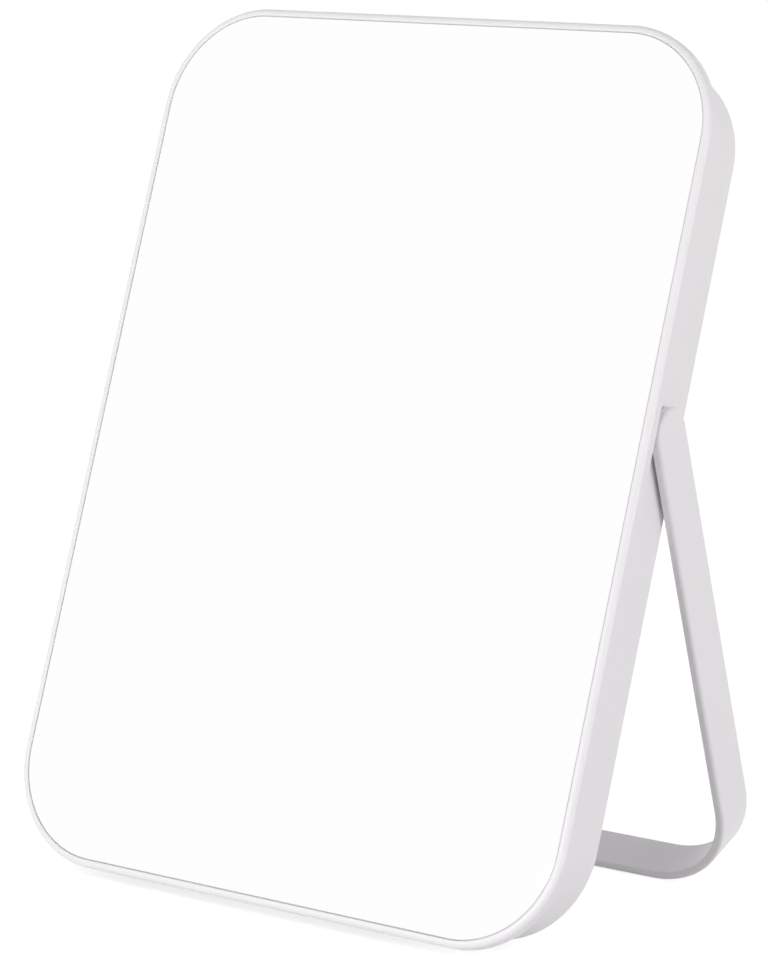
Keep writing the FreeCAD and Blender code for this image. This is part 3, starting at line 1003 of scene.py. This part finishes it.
# %% Steels
ZINC_BRIGHT = (0.68, 0.70, 0.72, 1.0)
ZINC_DULL = (0.55, 0.56, 0.56, 1.0)
SPRING_BRIGHT = (0.42, 0.42, 0.44, 1.0)
SPRING_OILED = (0.27, 0.26, 0.27, 1.0)
DRAWN_SCALE = (300.0, 5200.0, 5200.0)
DRAWN_DEPTH = 0.02 * MM
PATCH_SCALE = 420.0
STEEL_DULLS = 0.12


def steel_finish(name, bright, dull, roughness):
    """Makes the finish of a steel, drawn along the hinge's axis and dull in patches."""
    material, wire, place = start_finish(name)
    lines = speckle(wire, stretch(wire, place, DRAWN_SCALE), 1.0, detail=3.0, roughness=0.7)
    mottle = speckle(wire, place, PATCH_SCALE, detail=4.0, roughness=0.6)
    patches = spread(wire, mottle, low=0.4, high=0.7)
    finish(wire, {
        "Base Color": blend(wire, patches, bright, dull),
        "Metallic": 1.0,
        "Roughness": roughness + lines * STEEL_DULLS + patches * STEEL_DULLS,
        "Normal": relief(wire, lines, DRAWN_DEPTH, strength=0.4),
    })
    return material


zinc = steel_finish("plated_zinc", ZINC_BRIGHT, ZINC_DULL, roughness=0.26)
spring_steel = steel_finish("oiled_spring_steel", SPRING_BRIGHT, SPRING_OILED, roughness=0.30)
print("steels:", zinc.name, spring_steel.name)

# %% [markdown]
# ## Dressing the pieces
# The new pieces take their finish whole, apart from the glass, whose faces choose
# between silver and ground edge by how squarely they face front or back.

# %% Finishes on the new pieces
SQUARE_ON = 0.99

rim.data.materials.append(frame_white)
cover.data.materials.append(cover_white)
band.data.materials.append(stand_white)
glass.data.materials.append(silvered)
glass.data.materials.append(ground_edge)
glass_facing = Vector((0, -cos(LEAN), sin(LEAN)))
for face in glass.data.polygons:
    silver_side = abs(face.normal.dot(glass_facing)) > SQUARE_ON
    face.material_index = 0 if silver_side else 1
print("glass faces that are ground:", sum(face.material_index for face in glass.data.polygons))

# %% [markdown]
# ## Dressing the solids
# The ten inner solids stay as they are and only get a finish in place of their plain
# one. The four hidden solids get the finish of the piece that stands for them, so the
# model looks right whichever of the two is shown.

# %% Finishes on the solids
SOLID_FINISHES = {
    "front_frame": frame_white,
    "rear_cover": cover_white,
    "folding_stand": stand_white,
    "mirror_glass": silvered,
    "foam_tape_strips": foam,
    "frame_screws": zinc,
    "hinge_screw_right": zinc,
    "hinge_screw_left": zinc,
    "hinge_bush_right": nylon,
    "hinge_bush_left": nylon,
    "stop_disc_right": nylon,
    "stop_disc_left": nylon,
    "spring_washer_right": spring_steel,
    "spring_washer_left": spring_steel,
}
for name, node in frame["nodes"].items():
    for material_slot in node.material_slots:
        material_slot.material = SOLID_FINISHES[name]
print("dressed", len(SOLID_FINISHES), "solids")

# %% [markdown]
# ## The floor
# The mirror stands on a pale floor, which throws light back up and keeps a soft
# shadow. Seen by the eye or in the glass it glows up to plain white. More light on it
# would do that too, but would also wash out the white plastic.

# %% Floor
FLOOR_SIZE = 12.0
FLOOR_GLOW = 0.62
FLOOR_BOUNCE = 0.85

bpy.ops.object.select_all(action="DESELECT")
bpy.ops.mesh.primitive_plane_add(size=FLOOR_SIZE)
floor = bpy.context.object
floor.name = "floor"


def seen_directly(wire):
    """1 for rays from the eye, off a gloss or through glass, else 0."""
    camera_ray = wire.node("LightPath", output="Is Camera Ray")
    glossy_ray = wire.node("LightPath", output="Is Glossy Ray")
    glass_ray = wire.node("LightPath", output="Is Transmission Ray")
    return wire.math("MAXIMUM", camera_ray, wire.math("MAXIMUM", glossy_ray, glass_ray))


floor_material, floor_wire, _ = start_finish("pale_floor")
glow = seen_directly(floor_wire) * FLOOR_GLOW
finish(floor_wire, {
    "Base Color": (FLOOR_BOUNCE, FLOOR_BOUNCE, FLOOR_BOUNCE, 1.0),
    "Roughness": 1.0,
    "Specular IOR Level": 0.0,
    "Emission Color": floor_wire.node("CombineColor", {}, {0: glow, 1: glow, 2: glow}),
    "Emission Strength": 1.0,
})
floor.data.materials.append(floor_material)
print("floor", FLOOR_SIZE, "m across")

# %% [markdown]
# ## The sky
# The sky is an even white wherever the eye or the glass sees it. The light that it
# gives to the mirror is lower, so that white plastic keeps its shading.

# %% Sky
SKY_WHITE = (1.0, 1.0, 1.0, 1.0)
SKY_LIGHT = 0.48

world = bpy.data.worlds.new("white_sky")
bpy.context.scene.world = world
world.use_nodes = True
world.node_tree.nodes.clear()
sky = Wire(world.node_tree)
seen = seen_directly(sky)
strength = seen + (1 - seen) * SKY_LIGHT
background = sky.node("Background", {}, {"Color": SKY_WHITE, "Strength": strength})
sky.node("OutputWorld", {}, {"Surface": background})
bpy.context.scene.view_settings.view_transform = "Standard"
print("the sky lights the mirror with", SKY_LIGHT)

# %% [markdown]
# ## The lamps
# Two low, soft lamps shape the mirror, one in front and one at its right side. Large
# squares give softer edges to the shading than points or a sun would.

# %% Lamps
LAMP_SIZE = 0.8
LAMPS_AIM = Vector((0.0, 0.0, 0.12))
FRONT_PLACE = Vector((-0.29, -1.37, 0.12))
FRONT_POWER = 15.7
SIDE_PLACE = Vector((1.39, 0.12, 0.12))
SIDE_POWER = 8.8


def add_lamp(name, place, power):
    """Adds a square soft lamp that points at the mirror's middle, and returns it."""
    data = bpy.data.lights.new(name, "AREA")
    data.size = LAMP_SIZE
    data.energy = power
    lamp = bpy.data.objects.new(name, data)
    lamp.location = place
    lamp.rotation_euler = (LAMPS_AIM - place).to_track_quat("-Z", "Y").to_euler()
    bpy.context.scene.collection.objects.link(lamp)
    return lamp


front_lamp = add_lamp("front_lamp", FRONT_PLACE, FRONT_POWER)
side_lamp = add_lamp("side_lamp", SIDE_PLACE, SIDE_POWER)
print("lamps:", front_lamp.name, side_lamp.name)
